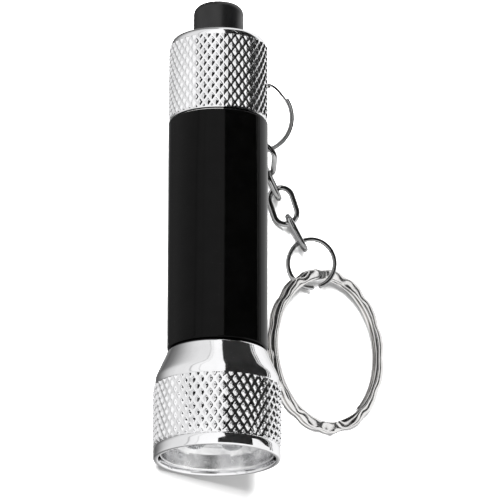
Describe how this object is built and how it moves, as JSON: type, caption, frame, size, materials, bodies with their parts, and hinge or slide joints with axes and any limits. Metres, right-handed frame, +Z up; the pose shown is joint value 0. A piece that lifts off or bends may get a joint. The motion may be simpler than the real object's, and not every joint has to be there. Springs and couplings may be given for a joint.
{
  "type": "keychain flashlight",
  "caption": "Small twist-apart pocket torch with a black barrel, knurled bright head and tail cap, push button, chain and wavy split key ring",
  "frame": {"origin": "centre of the bottom of the whole lying object, on the surface it rests on", "axes": "+Z up, +Y along the torch from its head to its tail button, +X towards the side on which the chain and key ring lie"},
  "size_m": [0.0523, 0.071, 0.0193],
  "materials": {
    "black_gloss": "gloss",
    "steel": "satin",
    "film": "satin",
    "black_satin": "satin",
    "spring": "satin",
    "nickel": "polished",
    "brass": "satin",
    "rubber": "matte",
    "polished": "polished",
    "lamp": "gloss",
    "board": "satin",
    "mirror": "polished",
    "grey_plastic": "matte"
  },
  "bodies": {
    "barrel": {"barrel": "black_gloss", "battery_1": "steel", "battery_2": "steel", "battery_3": "steel", "battery_4": "steel", "battery_wrap": "film", "front_o_ring": "rubber", "rear_o_ring": "rubber", "keyring_tab": "nickel"},
    "led_module": {"reflector": "mirror", "led_1": "lamp", "led_2": "lamp", "led_3": "lamp", "led_4": "lamp", "led_5": "lamp", "led_board": "board", "front_spring": "spring"},
    "head": {"head_shell": "polished"},
    "switch_module": {"switch_body": "grey_plastic", "contact_pin": "brass", "tail_spring": "spring", "button_spring": "spring"},
    "tail_cap": {"tail_cap": "polished"},
    "button": {"button": "black_satin", "switch_plunger": "grey_plastic"},
    "small_split_ring": {"small_split_ring": "nickel"},
    "chain_link_1": {"chain_link_1": "nickel"},
    "chain_link_2": {"chain_link_2": "nickel"},
    "chain_link_3": {"chain_link_3": "nickel"},
    "chain_link_4": {"chain_link_4": "nickel"},
    "jump_ring": {"jump_ring": "nickel"},
    "key_ring": {"key_ring": "nickel"}
  },
  "joints": [
    {"name": "head_slide", "type": "slide", "parent": "barrel", "child": "led_module", "axis": [0, -0.9992, 0.0394], "range_m": [0, 0.00375]},
    {"name": "head_turn", "type": "hinge", "parent": "led_module", "child": "head", "pos_m": [-0.0167, -0.02516, 0.00948], "axis": [0, -0.9992, 0.0394], "range_deg": [0, 1800]},
    {"name": "cap_slide", "type": "slide", "parent": "barrel", "child": "switch_module", "axis": [0, 0.9992, -0.0394], "range_m": [0, 0.00375]},
    {"name": "cap_turn", "type": "hinge", "parent": "switch_module", "child": "tail_cap", "pos_m": [-0.0167, 0.0228, 0.00759], "axis": [0, 0.9992, -0.0394], "range_deg": [0, 1800]},
    {"name": "button_press", "type": "slide", "parent": "switch_module", "child": "button", "axis": [0, -0.9992, 0.0394], "range_m": [0, 0.0015], "stiffness_N_per_m": 400, "springref_m": -0.001},
    {"name": "small_split_ring_swing", "type": "hinge", "parent": "barrel", "child": "small_split_ring", "pos_m": [-0.00711, 0.01645, 0.00266], "axis": [0, 0, 1], "range_deg": [-4, 1]},
    {"name": "chain_link_1_swing", "type": "hinge", "parent": "small_split_ring", "child": "chain_link_1", "pos_m": [-0.0047, 0.01617, 0.00576], "axis": [0, 0, 1], "range_deg": [-5, 10]},
    {"name": "chain_link_2_swing", "type": "hinge", "parent": "chain_link_1", "child": "chain_link_2", "pos_m": [-0.00201, 0.0139, 0.0027], "axis": [0, 0, 1], "range_deg": [-5, 10]},
    {"name": "chain_link_3_swing", "type": "hinge", "parent": "chain_link_2", "child": "chain_link_3", "pos_m": [0.00164, 0.01114, 0.00228], "axis": [0, 0, 1], "range_deg": [-5, 18]},
    {"name": "chain_link_4_swing", "type": "hinge", "parent": "chain_link_3", "child": "chain_link_4", "pos_m": [0.00421, 0.00741, 0.00212], "axis": [0, 0, 1], "range_deg": [-5, 18]},
    {"name": "jump_ring_swing", "type": "hinge", "parent": "chain_link_4", "child": "jump_ring", "pos_m": [0.00781, 0.00357, 0.00218], "axis": [0, 0, 1], "range_deg": [-6, 15]},
    {"name": "key_ring_slide_round", "type": "hinge", "parent": "jump_ring", "child": "key_ring", "pos_m": [0.01353, -0.01107, 0.00156], "axis": [0.0305, -0.0588, 0.9978], "continuous": true}
  ],
  "couplings": [
    {"joint": "head_slide", "follows": "head_turn", "m_per_rad": 0.00011937},
    {"joint": "cap_slide", "follows": "cap_turn", "m_per_rad": 0.00011937}
  ]
}
